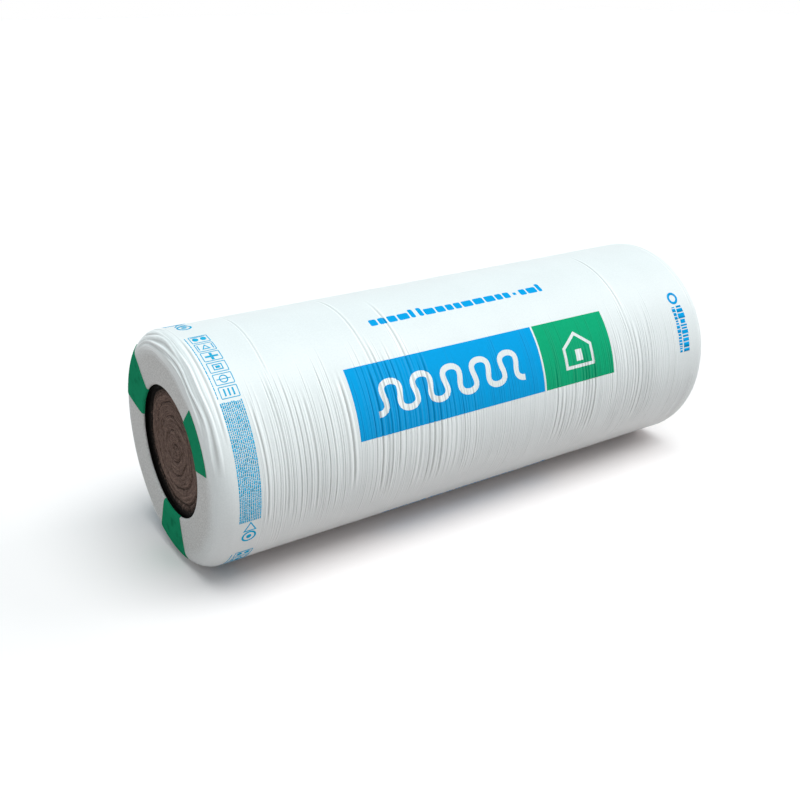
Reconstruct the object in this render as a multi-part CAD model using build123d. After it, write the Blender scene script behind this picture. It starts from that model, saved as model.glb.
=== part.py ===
from build123d import *
import math
import os

# Insulation roll: a blanket of glass mineral wool, wound on itself without a core and packed tight,
# in a printed plastic film that is drawn in over both ends and leaves a round opening there.
# The roll lies on its side along X. The origin is on the floor, under the middle of the roll.

# The roll, over the film, in millimetres
roll_length = 1200.0  # end face to end face
roll_diameter = 450.0
shoulder_radius = 30.0  # where the film turns from the side onto the ends

# The film
film_thickness = 1.0  # the layers of film and the air between them
film_clearance = 0.3  # between the film and the wool
opening_diameter = 254.0
lip_depth = 4.0  # the film's edge leans into the opening by this much, at 45 degrees

# The wool blanket
blanket_thickness = 27.0  # one turn as packed, so the winding's pitch
recess_depth = 13.0  # from the film's end face back to the turns that show in the opening
recess_diameter = 280.0  # the turns inside this have slipped back
recess_edge = 6.0  # bevel on the inner edge of the turns that stand proud
crease_width = 3.0  # groove between two neighbouring turns
crease_depth = 5.0

roll_radius = roll_diameter / 2
opening_radius = opening_diameter / 2
recess_radius = recess_diameter / 2
end_face = roll_length / 2  # the film's end face, from the middle of the roll
recess_floor = end_face - recess_depth
wool_inset = film_thickness + film_clearance  # from the film's outside to the wool


def mirrored_section(half_line):
    """The whole line from the half of it at negative X."""
    return half_line + mirror(half_line, Plane.YZ)


def film_section():
    """Section of the film in the XY plane, with Y as the radius: its outside line, made as thick as the film."""
    edge = (-end_face + lip_depth, opening_radius)
    lip_bend = (-end_face, opening_radius + lip_depth)
    shoulder_centre = (-end_face + shoulder_radius, roll_radius - shoulder_radius)
    flange = Polyline(edge, lip_bend, (-end_face, shoulder_centre[1]))
    shoulder = CenterArc(shoulder_centre, shoulder_radius, 180, -90)
    side = Line((shoulder_centre[0], roll_radius), (0, roll_radius))
    outside = mirrored_section(flange + shoulder + side)
    return make_face(offset(outside, film_thickness, side=Side.RIGHT, closed=True))


def wool_section():
    """Section of the wound blanket in the XY plane, closed along the axis. Its corner is two bevels whose
    ends lie on the round inside of the film's shoulder."""
    wool_end = -end_face + wool_inset
    wool_radius = roll_radius - wool_inset
    corner = shoulder_radius - wool_inset
    corner_middle = corner * (1 - math.sin(math.radians(45)))
    outside = Polyline(
        (-recess_floor, 0),
        (-recess_floor, recess_radius),
        (wool_end + recess_edge, recess_radius),
        (wool_end, recess_radius + recess_edge),
        (wool_end, wool_radius - corner),
        (wool_end + corner_middle, wool_radius - corner_middle),
        (wool_end + corner, wool_radius),
        (0, wool_radius),
    )
    axis = Line((-recess_floor, 0), (recess_floor, 0))
    return make_face(mirrored_section(outside) + axis)


def winding_line(reach):
    """The spiral between the turns, from the middle out past reach: half circles about two centres,
    each larger than the last by half a turn, so that they join smoothly."""
    half_turn = blanket_thickness / 2
    line = Curve()
    radius = half_turn
    side = 1
    while radius < reach + blanket_thickness:
        centre = (-side * half_turn / 2, 0)
        line += CenterArc(centre, radius, 90 - side * 90, 180)
        radius += half_turn
        side = -side
    return Wire(line.edges())


def winding_crease():
    """Groove along the spiral, on both sides of the YZ plane, from the middle nearly to the recess wall."""
    groove = make_face(offset(winding_line(recess_radius), crease_width, side=Side.LEFT, closed=True))
    reach = Circle(recess_radius - crease_width)
    return extrude(Plane.YZ * (groove & reach), crease_depth, both=True)


def film_wrap():
    return revolve(film_section(), Axis.X)


def wool_roll():
    crease = winding_crease()
    roll = revolve(wool_section(), Axis.X)
    return roll - Pos(-recess_floor, 0, 0) * crease - Pos(recess_floor, 0, 0) * crease


def main():
    os.makedirs("parts", exist_ok=True)
    on_floor = Pos(0, 0, roll_radius)
    pieces = {"film_wrap": film_wrap(), "wool_roll": wool_roll()}
    for name, piece in pieces.items():
        export_step(on_floor * piece, f"parts/{name}.step")


main()
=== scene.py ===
import bisect
import math
import random

import bmesh
import bpy
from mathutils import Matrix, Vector, noise


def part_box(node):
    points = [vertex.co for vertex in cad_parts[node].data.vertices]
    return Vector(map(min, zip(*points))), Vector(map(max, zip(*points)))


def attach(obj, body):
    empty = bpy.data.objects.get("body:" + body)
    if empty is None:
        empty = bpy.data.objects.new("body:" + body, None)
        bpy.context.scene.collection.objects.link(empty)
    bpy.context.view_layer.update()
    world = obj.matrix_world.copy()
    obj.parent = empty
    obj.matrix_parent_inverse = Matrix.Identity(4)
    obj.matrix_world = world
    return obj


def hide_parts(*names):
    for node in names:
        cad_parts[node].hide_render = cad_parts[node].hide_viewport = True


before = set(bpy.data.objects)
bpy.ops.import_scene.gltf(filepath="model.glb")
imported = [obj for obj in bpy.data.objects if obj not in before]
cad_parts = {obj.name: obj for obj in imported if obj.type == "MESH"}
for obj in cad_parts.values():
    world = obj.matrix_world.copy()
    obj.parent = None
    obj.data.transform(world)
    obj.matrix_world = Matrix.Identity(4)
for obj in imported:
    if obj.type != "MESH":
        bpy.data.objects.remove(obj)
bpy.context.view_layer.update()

# Insulation roll: brown mineral wool wound into a roll, in a white polyethylene film that is drawn in over
# both ends. The film is a thin shell with wrinkles that run round the roll. Its prints are thin skins that
# follow the wrinkles, and the wool shows its turns in the round opening at each end.

MM = 0.001
FULL_TURN = 2 * math.pi
NEARLY = 1e-6  # sizes that differ by less count as the same
SAME_PLACE, SAME_LINE = 0.1 * MM, 0.01 * MM  # as NEARLY, to find rings and straight edges in a mesh

# The roll, from the solids
film_low, film_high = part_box("film_wrap")
ROLL_RADIUS = (film_high.z - film_low.z) / 2
END = (film_high.x - film_low.x) / 2
AXIS_HEIGHT = ROLL_RADIUS

# The film
SHOULDER = 30 * MM
OPENING_RADIUS = 127 * MM
LIP = 4 * MM
FILM_WALL = 1 * MM
FILM_SLACK = 0.5 * MM  # how far the wrinkled film stands off the roll
DEEPEST_FOLD = 0.8 * MM  # no fold reaches further into the roll
SIDE = END - SHOULDER  # the straight side runs this far from the middle
SHOULDER_RUN = SHOULDER * math.pi / 2
END_RING = ROLL_RADIUS - SHOULDER  # outside radius of the flat ring on each end
RING_RUN = END_RING - OPENING_RADIUS - LIP
LIP_RUN = LIP * math.pi / 2
RING_START = SIDE + SHOULDER_RUN  # along the film from the middle of the roll, as are the next two
LIP_START = RING_START + RING_RUN
LIP_END = LIP_START + LIP_RUN
HOOP_PARTS = 80
SHOULDER_PARTS = 40
RING_PARTS = 40
LIP_PARTS = 4
INSIDE_STEP = 8  # the inside of a shoulder has one ring for every 8 outside
SIDE_CUTS = (27, 35)  # made one after the other, so the side has 28 x 36 bands
SIDE_BANDS = math.prod(cuts + 1 for cuts in SIDE_CUTS)

# The wool
TURN = 27 * MM
RECESS_DEPTH = 13 * MM
RECESS_RADIUS = 140 * MM
RECESS_EDGE = 6 * MM
WOOL_GAP = 2.5 * MM  # under the film
WOOL_HOOP_PARTS = 192
WOOL_CORNER_PARTS = 4
WOOL_RINGS = 90
WINDING_START = 5.25 * MM  # radius of the crease where the winding begins
CREASE_DEPTH = 5 * MM

# The prints
PRINT_REPEATS = 3  # the same print comes three times round the roll
PRINT_LIFT = 0.25 * MM
PANEL_LIFT = 0.1 * MM
PRINT_ROOT = 0.7 * MM  # how far a print reaches down into the film

# Layouts for the finish, in shares of a square
LAYOUT_EDGE, LAYOUT_SPAN = 0.01, 0.93
BACK_CORNER, BACK_SPAN = Vector((0.96, 0.96)), 0.03  # the small corner for a print's sides and back


def linear(hex_colour):
    """An sRGB hex colour as linear red, green, blue and alpha."""
    parts = [int(hex_colour[i : i + 2], 16) / 255 for i in (1, 3, 5)]
    return [c / 12.92 if c <= 0.04045 else ((c + 0.055) / 1.055) ** 2.4 for c in parts] + [1.0]


def smooth(low, high, value):
    """0 below low, 1 above high, and an even ease between them. low may be the larger one."""
    share = min(max((value - low) / (high - low), 0.0), 1.0)
    return share * share * (3 - 2 * share)


# Modelling helpers


def start_piece(name, add_primitive, **settings):
    bpy.ops.object.select_all(action="DESELECT")
    add_primitive(**settings)
    piece = bpy.context.object
    piece.name = piece.data.name = name
    bpy.ops.object.transform_apply(location=True, rotation=True, scale=True)
    return piece


def start_tube(name, sides, radius):
    """An open tube along the straight side of the roll."""
    return start_piece(
        name,
        bpy.ops.mesh.primitive_cylinder_add,
        vertices=sides,
        radius=radius,
        depth=2 * SIDE,
        end_fill_type="NOTHING",
        location=(0, 0, AXIS_HEIGHT),
        rotation=(0, math.pi / 2, 0),
    )


def copy_piece(source, name):
    piece = source.copy()
    piece.data = source.data.copy()
    piece.name = piece.data.name = name
    bpy.context.collection.objects.link(piece)
    return piece


def edit(piece):
    bpy.context.view_layer.objects.active = piece
    bpy.ops.object.mode_set(mode="EDIT")


def leave_edit():
    bpy.ops.object.mode_set(mode="OBJECT")


def select_verts(piece, wanted):
    """In edit mode, selects the vertices whose place passes the test, with the faces between them."""
    bpy.ops.mesh.select_mode(type="VERT")
    bpy.ops.mesh.select_all(action="DESELECT")
    mesh = bmesh.from_edit_mesh(piece.data)
    for vert in mesh.verts:
        vert.select_set(wanted(vert.co))
    mesh.select_flush(True)
    bmesh.update_edit_mesh(piece.data)


def select_edges(piece, wanted):
    bpy.ops.mesh.select_mode(type="EDGE")
    bpy.ops.mesh.select_all(action="DESELECT")
    mesh = bmesh.from_edit_mesh(piece.data)
    for edge in mesh.edges:
        edge.select_set(wanted(edge.verts[0].co, edge.verts[1].co))
    bmesh.update_edit_mesh(piece.data)


def draw_rims(piece, radius, points, close=False):
    """Extrudes both rims of a tube, ring by ring, through the points, each an x and a radius, and closes the
    last ring where asked."""
    for end in (-1, 1):
        select_verts(piece, lambda place: end * place.x > SIDE - MM)
        last_x, last_radius = SIDE, radius
        for x, next_radius in points:
            bpy.ops.mesh.extrude_region_move(TRANSFORM_OT_translate={"value": (end * (x - last_x), 0, 0)})
            share = next_radius / last_radius
            bpy.ops.transform.resize(value=(1, share, share), center_override=(end * x, 0, AXIS_HEIGHT))
            last_x, last_radius = x, next_radius
        if close:
            bpy.ops.mesh.edge_face_add()
            bpy.ops.mesh.poke()


def turn_faces_out():
    bpy.ops.mesh.select_all(action="SELECT")
    bpy.ops.mesh.normals_make_consistent(inside=False)


def apply_modifier(piece, kind, **settings):
    bpy.ops.object.select_all(action="DESELECT")
    piece.select_set(True)
    bpy.context.view_layer.objects.active = piece
    modifier = piece.modifiers.new(kind.lower(), kind)
    for name, value in settings.items():
        setattr(modifier, name, value)
    bpy.ops.object.modifier_apply(modifier=modifier.name)


# Places on the roll


def axis_radius(place):
    return math.hypot(place.y, place.z - AXIS_HEIGHT)


def hoop_angle(place):
    """Angle round the roll: 0 on the side towards the viewer, a quarter turn at the top."""
    return math.atan2(place.z - AXIS_HEIGHT, -place.y)


def outward(place):
    return Vector((0, place.y, place.z - AXIS_HEIGHT)).normalized()


def round_way(angle):
    """The way round the roll at an angle, towards larger angles."""
    return Vector((0, math.sin(angle), math.cos(angle)))


def face_corners(piece):
    """Every corner of every face, as the face, the corner's number, its place and its angle round the roll.
    The angle is within half a turn of the face's middle."""
    verts, loops = piece.data.vertices, piece.data.loops
    for face in piece.data.polygons:
        middle_angle = hoop_angle(face.center)
        for corner in face.loop_indices:
            place = verts[loops[corner].vertex_index].co
            angle = hoop_angle(place)
            angle += FULL_TURN * round((middle_angle - angle) / FULL_TURN)
            yield face, corner, place, angle


# The film's surface

NOISE_SHIFT_ALONG, NOISE_SHIFT_ROUND = 31.7, 7.3  # how far apart the noise of two seeds lies
# Slow waves of the film, as size, pitch along the roll and length round it in millimetres, and a seed
CREEP = [(5, 130, 260, 12), (2.5, 45, 150, 14)]  # along the roll, so that its pleats wander
CREEP_FADE = 60 * MM  # there is none at the shoulders
SWELL = [(0.25, 24, 160, 6), (0.5, 95, 240, 7)]  # off the roll
SHOULDER_WANDER = [(5, 20, 80, 13)]  # of the pleats on the shoulders
SHOULDER_WANDER_START = 12 * MM
RING_RIPPLE = [(0.3, 30, 70, 10)]  # of the flat ring on each end
RING_RIPPLE_START = 10 * MM
LIP_CALM = 12 * MM  # the film lies smooth this near to its lip

# The hem: the ragged inner edge of the film's outer layer, on each end
HEM_RADIUS = 196 * MM
HEM_LEAN, HEM_LEAN_ANGLE = 15 * MM, math.radians(38)
HEM_RAGS = [(5, 4, 3.3), (1.6, 14, 8.1)]  # size in millimetres, noise cells in a radius, shift of each end
HEM_MIDDLE, HEM_HALF = 62, 50  # where it shows as a step round the roll, in degrees
HEM_STEP, HEM_STEP_HALF = 1.2 * MM, 1.5 * MM  # height and half width of the step
HEM_BAND = 8 * MM  # how far the hem shows through the layer over it
HEM_CRISP, HEM_BLUR = 2, 22  # how soft it is where it shows, and how much softer elsewhere, in millimetres
HEM_TONES = (0.55, 0.45)  # how much of the change in colour comes at the hem, and how much past the band
FOLDS_PAST_HEM, FOLDS_BEFORE_HEM = 2 * MM, 6 * MM  # where the outer layer's folds fade

# Where the film is slack: from and to in millimetres along the roll, how far up its folds reach in degrees
SLACK = [(-508, -335, 42), (-295, -175, 50), (-140, -60, 26), (150, 250, 22), (305, 345, 28), (365, 430, 40)]
NEAR_MARKS_EDGE, FAR_MARKS_EDGE = 518 * MM, 505 * MM  # from here to the ends, no folds lie under the marks
FADE_PAST, FADE_BEFORE = 9, 5  # how far past and before its end a fold fades, in degrees

# Ranges that the folds are drawn from: millimetres, degrees round the roll, and depths in half widths
FAR_SIDE_SHIFT, FAR_SIDE_HALF = (-12, 12), (20, 36)
BROAD_HALF_WIDTH, BROAD_DEPTH, BROAD_PITCH = (1.4, 2.6), (0.3, 0.62), (8, 15)
GROUP_COUNT, GROUP_GAP, GROUP_LOW, GROUP_HIGH = (2, 5), (0, 5), (-21, -8), (-14, 3)
BROAD_LOW, BROAD_HIGH = (-4, 4), (-9, 9)  # off its group's ends
TOP_CHANCE, TOP_REACH = 0.12, 38  # how often a fold goes on over the top, where the slack reaches this far
TOP_MIDDLE, TOP_HALF = (52, 84), (14, 30)
SHARP_START = 4
SHARP_HALF_WIDTH, SHARP_DEPTH, SHARP_PITCH = (0.8, 1.3), (0.45, 0.85), (5, 13)
SHARP_LOW, SHARP_HIGH = (-30, -6), (-26, 10)
FINE_STOP = 5 * MM  # before the far shoulder
FINE_HALF_WIDTH, FINE_DEPTH, FINE_PITCH = (0.7, 1.2), (0.15, 0.6), (3, 9)  # this depth is in millimetres
FINE_LOW, FINE_HIGH = (-42, -6), (8, 46)
UNDER_MARKS_MIDDLE, UNDER_MARKS_HALF = -22, 14  # where fine lines lie below the marks at the far end
SHOULDER_STRENGTHS = [(-1, 1.0), (1, 0.35)]  # the far shoulder is drawn tighter
SHOULDER_STRAY, SHOULDER_DEPTH = (-0.4, 0.4), (0.18, 0.36)
# First place past the side, spacing, how many, and the ranges of their middles, half lengths and half widths
SHOULDER_FOLDS = [
    (3, 8.5, 5, (40, 78), (14, 34), (1.6, 3.8)),
    (2, 4.2, 13, (32, 100), (8, 24), (0.9, 1.6)),
    (12, 8.5, 4, (98, 120), (8, 18), (1.6, 3.8)),
    (4, 8.5, 5, (165, 225), (20, 45), (1.6, 3.8)),
]


def ring_noise(layers, run, angle):
    """A sum of noises that change with the place along the film's run and round the roll."""
    total = 0.0
    for size, pitch, hoop_length, seed in layers:
        reach = ROLL_RADIUS / (hoop_length * MM)
        along = run / (pitch * MM) + NOISE_SHIFT_ALONG * seed
        across = reach * math.cos(angle) + NOISE_SHIFT_ROUND * seed
        total += size * MM * noise.noise(Vector((along, across, reach * math.sin(angle))))
    return total


def window(angle, middle, half):
    """1 within half degrees of the middle of a stretch round the roll, easing to 0 past its ends."""
    off = abs((math.degrees(angle) - middle + 180) % 360 - 180)
    return smooth(half + FADE_PAST, half - FADE_BEFORE, off)


def both_sides(draw, low, high):
    """The stretches of a fold round the roll: one on the viewer's side, and one like it on the far side."""
    far_side = (180 + draw.uniform(*FAR_SIDE_SHIFT), draw.uniform(*FAR_SIDE_HALF))
    return [((low + high) / 2, (high - low) / 2), far_side]


def broad_folds(draw, first, last, reach):
    """Groups of broad folds in a slack stretch of the film."""
    run = first * MM
    while run < last * MM:
        lowest, highest = draw.uniform(*GROUP_LOW), reach + draw.uniform(*GROUP_HIGH)
        for _ in range(draw.randint(*GROUP_COUNT)):
            half_width = draw.uniform(*BROAD_HALF_WIDTH) * MM
            depth = half_width * draw.uniform(*BROAD_DEPTH)
            low, high = lowest + draw.uniform(*BROAD_LOW), highest + draw.uniform(*BROAD_HIGH)
            windows = both_sides(draw, low, high)
            if reach > TOP_REACH and draw.random() < TOP_CHANCE:
                windows.append((draw.uniform(*TOP_MIDDLE), draw.uniform(*TOP_HALF)))
            yield run, half_width, depth, windows
            run += draw.uniform(*BROAD_PITCH) * MM
        run += draw.uniform(*GROUP_GAP) * MM


def sharp_lines(draw, first, last, reach):
    """Sharp lines among the broad folds."""
    run = (first + SHARP_START) * MM
    while run < last * MM:
        half_width = draw.uniform(*SHARP_HALF_WIDTH) * MM
        windows = both_sides(draw, draw.uniform(*SHARP_LOW), reach + draw.uniform(*SHARP_HIGH))
        yield run, half_width, half_width * draw.uniform(*SHARP_DEPTH), windows
        run += draw.uniform(*SHARP_PITCH) * MM


def fine_lines(draw):
    """Fine lines all along the side, only low down beside the far marks."""
    run = -NEAR_MARKS_EDGE
    while run < SIDE - FINE_STOP:
        half_width, depth = draw.uniform(*FINE_HALF_WIDTH) * MM, draw.uniform(*FINE_DEPTH) * MM
        low, high = draw.uniform(*FINE_LOW), draw.uniform(*FINE_HIGH)
        if run < FAR_MARKS_EDGE:
            windows = both_sides(draw, low, high)
        else:
            windows = [(UNDER_MARKS_MIDDLE, UNDER_MARKS_HALF + high / 10)]
        yield run, half_width, depth, windows
        run += draw.uniform(*FINE_PITCH) * MM


def shoulder_folds(draw):
    """Folds where the film is drawn in over the shoulders."""
    for end, strength in SHOULDER_STRENGTHS:
        for first, spacing, folds, middles, halves, half_widths in SHOULDER_FOLDS:
            for i in range(folds):
                reach = SIDE + (first + spacing * (i + draw.uniform(*SHOULDER_STRAY))) * MM
                half_width = draw.uniform(*half_widths) * MM
                windows = [(draw.uniform(*middles), draw.uniform(*halves))]
                yield end * reach, half_width, strength * half_width * draw.uniform(*SHOULDER_DEPTH), windows


def lay_pleats():
    """The film's pleats in order along it, as (run, half width, depth, windows). A pleat is a narrow valley
    with a ridge on each side. It runs round the roll through its windows, each a middle and a half length in
    degrees."""
    draw = random.Random(5)
    pleats = []
    for stretch in SLACK:
        pleats.extend(broad_folds(draw, *stretch))
        pleats.extend(sharp_lines(draw, *stretch))
    pleats.extend(fine_lines(draw))
    pleats.extend(shoulder_folds(draw))
    return sorted(pleats)


PLEATS = lay_pleats()
PLEAT_RUNS = [pleat[0] for pleat in PLEATS]
PLEAT_REACH = 10 * MM  # no pleat is wider than this to either side
RIDGE, FLANK = 1.8, 0.75  # where a pleat's ridges and flanks lie, in half widths
DEEP_PLEAT = 0.5 * MM  # deeper ones have mesh rings on their flanks too
RING_SPACING = 0.8 * MM  # no mesh rings for pleats lie closer than this


def lay_rings():
    """Where the rings of the side's mesh lie: on pleats' valleys, flanks and ridges, and between them."""
    rings = {-SIDE, SIDE}
    for run, half_width, depth, _ in PLEATS:
        for share in [0, -RIDGE, RIDGE] + ([-FLANK, FLANK] if depth > DEEP_PLEAT else []):
            place = run + share * half_width
            if abs(place) < SIDE - MM and all(abs(place - other) > RING_SPACING for other in rings):
                rings.add(place)
    rings = sorted(rings)
    while len(rings) > SIDE_BANDS + 1:
        gaps = [rings[i + 1] - rings[i - 1] for i in range(1, len(rings) - 1)]
        rings.pop(1 + gaps.index(min(gaps)))
    while len(rings) < SIDE_BANDS + 1:
        gaps = [b - a for a, b in zip(rings, rings[1:])]
        widest = gaps.index(max(gaps))
        rings.insert(widest + 1, (rings[widest] + rings[widest + 1]) / 2)
    return rings


def pleat_height(run, angle):
    height = 0.0
    run += smooth(SIDE, SIDE + SHOULDER_WANDER_START, abs(run)) * ring_noise(SHOULDER_WANDER, run, angle)
    for i in range(bisect.bisect_left(PLEAT_RUNS, run - PLEAT_REACH), len(PLEATS)):
        place, half_width, depth, windows = PLEATS[i]
        if place > run + PLEAT_REACH:
            break
        off = abs(run - place) / half_width
        if off < 1:
            profile = -((1 - off * off) ** 2)
        elif off < 2 * RIDGE - 1:
            profile = (1 - ((off - RIDGE) / (RIDGE - 1)) ** 2) ** 2
        else:
            continue
        height += profile * depth * max(window(angle, middle, half) for middle, half in windows)
    return height


def drift(run, angle):
    """How far the film has crept along the roll, which makes its pleats wander a little."""
    return smooth(SIDE, SIDE - CREEP_FADE, abs(run)) * ring_noise(CREEP, run, angle)


def run_at(x, angle):
    """The run of the film that lies at x."""
    return x - drift(x - drift(x, angle), angle)


def run_at_radius(radius):
    """A radius on an end as a distance along the film from the middle of the roll."""
    if radius > END_RING:
        return SIDE + SHOULDER * math.acos((radius - END_RING) / SHOULDER)
    return RING_START + END_RING - radius


def hem_run(angle, end):
    """Where the hem lies on an end, as a distance along the film from the middle of the roll."""
    radius = HEM_RADIUS - HEM_LEAN * math.cos(angle - HEM_LEAN_ANGLE)
    for size, cells, shift in HEM_RAGS:
        place = Vector((cells * math.cos(angle), cells * math.sin(angle), shift * end))
        radius += size * MM * noise.noise(place)
    return run_at_radius(radius)


def hem_share(angle):
    """1 where the hem shows as a ragged step, high on the viewer's side, and 0 where it lies smooth."""
    return window(angle, HEM_MIDDLE, HEM_HALF)


def film_height(run, angle):
    """How far the film stands off its plain turned shape."""
    reach = abs(run)
    hem = hem_run(angle, 1 if run > 0 else -1)
    folds = ring_noise(SWELL, run, angle) + pleat_height(run, angle)
    height = smooth(hem + FOLDS_PAST_HEM, hem - FOLDS_BEFORE_HEM, reach) * folds
    step = HEM_STEP * smooth(hem + HEM_STEP_HALF, hem - HEM_STEP_HALF, reach) * hem_share(angle)
    height += step * smooth(SIDE, SIDE + 0.5 * SHOULDER_RUN, reach)
    height += smooth(hem, hem + RING_RIPPLE_START, reach) * ring_noise(RING_RIPPLE, run, angle)
    return max(height + FILM_SLACK, -DEEPEST_FOLD) * smooth(LIP_START, LIP_START - LIP_CALM, reach)


def film_point(run, angle):
    """A place on the film, by its distance along the film from the middle and its angle round the roll."""
    end = 1 if run > 0 else -1
    reach = abs(run)
    height = film_height(run, angle)
    if reach <= SIDE:
        x, radius = reach + end * drift(run, angle), ROLL_RADIUS + height
    elif reach <= RING_START:
        bend = (reach - SIDE) / SHOULDER
        x = SIDE + (SHOULDER + height) * math.sin(bend)
        radius = END_RING + (SHOULDER + height) * math.cos(bend)
    elif reach <= LIP_START:
        x, radius = END + height, END_RING - (reach - RING_START)
    else:
        bend = (reach - LIP_START) / LIP
        x = END - LIP + LIP * math.cos(bend)
        radius = OPENING_RADIUS + LIP - LIP * math.sin(bend)
    z = AXIS_HEIGHT + radius * math.sin(angle)
    return Vector((end * x, -radius * math.cos(angle), max(z, 0.0)))


def film_run(place):
    """The distance along the film of a place on its plain outside, or None for its lip and its inside."""
    end = 1 if place.x > 0 else -1
    reach = abs(place.x)
    radius = axis_radius(place)
    near = FILM_WALL / 2
    if reach <= SIDE + NEARLY:
        return place.x if radius > ROLL_RADIUS - near else None
    if radius > END_RING + NEARLY:
        out = math.hypot(reach - SIDE, radius - END_RING)
        bend = math.atan2(reach - SIDE, radius - END_RING)
        return end * (SIDE + SHOULDER * bend) if out > SHOULDER - near else None
    if reach > END - near and radius > OPENING_RADIUS + LIP - NEARLY:
        return end * (RING_START + END_RING - radius)
    return None


# The film's mesh


def film_rim():
    """The film's section from the straight side over a shoulder to the opening, and back inside."""
    points = []
    for i in range(1, SHOULDER_PARTS + 1):
        bend = math.pi / 2 * i / SHOULDER_PARTS
        points.append((SIDE + SHOULDER * math.sin(bend), END_RING + SHOULDER * math.cos(bend)))
    for i in range(1, RING_PARTS + 1):
        points.append((END, END_RING - RING_RUN * i / RING_PARTS))
    for i in range(1, LIP_PARTS + 1):
        bend = math.pi / 2 * i / LIP_PARTS
        points.append((END - LIP + LIP * math.cos(bend), OPENING_RADIUS + LIP - LIP * math.sin(bend)))
    points.append((END - LIP - FILM_WALL, OPENING_RADIUS + FILM_WALL))
    points.append((END - LIP, OPENING_RADIUS + FILM_WALL * 1.5))
    points.append((END - FILM_WALL, OPENING_RADIUS + LIP + FILM_WALL))
    inner = SHOULDER - FILM_WALL
    for i in range(SHOULDER_PARTS, -1, -INSIDE_STEP):
        bend = math.pi / 2 * i / SHOULDER_PARTS
        points.append((SIDE + inner * math.sin(bend), END_RING + inner * math.cos(bend)))
    return points


def on_inner_rim(place):
    """Whether a place is on the inner wall's last ring at an end of the straight side."""
    return abs(abs(place.x) - SIDE) < SAME_PLACE and axis_radius(place) < ROLL_RADIUS - FILM_WALL / 2


def is_side_edge(a, b, length):
    """Whether an edge runs along the outside of the straight side and has the given length."""
    outside = min(axis_radius(a), axis_radius(b)) > ROLL_RADIUS - FILM_WALL / 2
    straight = abs(a.y - b.y) < SAME_LINE and abs(a.z - b.z) < SAME_LINE
    return outside and straight and abs(abs(a.x - b.x) - length) < SAME_PLACE


def make_film():
    film = start_tube("film_wrap_skin", HOOP_PARTS, ROLL_RADIUS)
    edit(film)
    draw_rims(film, ROLL_RADIUS, film_rim())
    select_edges(film, lambda a, b: on_inner_rim(a) and on_inner_rim(b) and a.x * b.x > 0)
    bpy.ops.mesh.bridge_edge_loops()
    band = 2 * SIDE
    for cuts in SIDE_CUTS:
        select_edges(film, lambda a, b: is_side_edge(a, b, band))
        bpy.ops.mesh.subdivide(number_cuts=cuts)
        band /= cuts + 1
    turn_faces_out()
    leave_edit()
    unwrap_film(film)
    wrinkle_film(film)
    edit(film)
    bpy.ops.mesh.select_all(action="SELECT")
    bpy.ops.mesh.quads_convert_to_tris()
    leave_edit()
    bpy.ops.object.shade_smooth()
    return film


def wrinkle_film(film):
    """Moves the film's outside to its wrinkled shape. For its finish, each corner keeps how far it is on the
    inner layer of an end, from 0 to 1, and how far a fold raises it, in millimetres."""
    rings = lay_rings()
    ring_shares, folds = [0.0] * len(film.data.vertices), [0.0] * len(film.data.vertices)
    for vert in film.data.vertices:
        run = film_run(vert.co)
        angle = hoop_angle(vert.co)
        if run is not None:
            if abs(run) <= SIDE:
                run = rings[round((run + SIDE) / (2 * SIDE) * SIDE_BANDS)]
            ring_shares[vert.index] = inner_layer_share(run, angle)
            folds[vert.index] = pleat_height(run, angle) / MM
            vert.co = film_point(run, angle)
        elif abs(vert.co.x) > SIDE:
            ring_shares[vert.index] = 1.0
    for name, values in (("end_ring", ring_shares), ("fold", folds)):
        corners = [values[loop.vertex_index] for loop in film.data.loops]
        film.data.attributes.new(name, "FLOAT", "CORNER").data.foreach_set("value", corners)


def inner_layer_share(run, angle):
    """0 on the film's outer layer and 1 past the hem, with a band between where the hem shows through."""
    hem = hem_run(angle, 1 if run > 0 else -1)
    shows = hem_share(angle)
    soft = (HEM_CRISP + HEM_BLUR * (1 - shows)) * MM
    share = 0.0
    for tone, edge in zip(HEM_TONES, (hem, hem + shows * HEM_BAND)):
        share += tone * smooth(edge - soft, edge + soft, abs(run))
    return share


SHEET_SCALE, SHEET_SPAN, SHEET_STRETCH = 0.66, 1.45, 1.8  # the side's share, metres across, stretch along
DISC_SCALE, DISC_MIDDLE, NEAR_DISC, FAR_DISC = 0.62, 0.835, 0.2, 0.55  # the discs of the two ends
INSIDE_CORNER, INSIDE_SPAN = (0.70, 0.80), (0.28, 0.18)


def unwrap_film(film):
    """Lays the film out flat for its finish: the side as one sheet, the two ends as discs beside it, and the
    hidden inside small in a corner."""
    layer = film.data.uv_layers.new(name="OFBake")
    shows = [film_run(vert.co) is not None for vert in film.data.vertices]
    disc_radius = ROLL_RADIUS + SHOULDER_RUN - SHOULDER
    for face, corner, place, angle in face_corners(film):
        outside = all(shows[i] for i in face.vertices)
        if outside and abs(face.center.x) <= SIDE:
            u = LAYOUT_EDGE + SHEET_SCALE * (angle + math.pi) * ROLL_RADIUS / SHEET_SPAN
            v = LAYOUT_EDGE + SHEET_SCALE * (place.x + SIDE) / SHEET_SPAN * SHEET_STRETCH
        elif outside and axis_radius(face.center) > OPENING_RADIUS:
            radius = disc_radius - (abs(film_run(place)) - SIDE)
            u = DISC_MIDDLE + DISC_SCALE * radius * math.cos(angle)
            v = (NEAR_DISC if face.center.x < 0 else FAR_DISC) + DISC_SCALE * radius * math.sin(angle)
        else:
            u = INSIDE_CORNER[0] + INSIDE_SPAN[0] * (angle + math.pi) / FULL_TURN
            v = INSIDE_CORNER[1] + INSIDE_SPAN[1] * (place.x + END) / (2 * END)
        layer.data[corner].uv = (u, v)


# The wool

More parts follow.
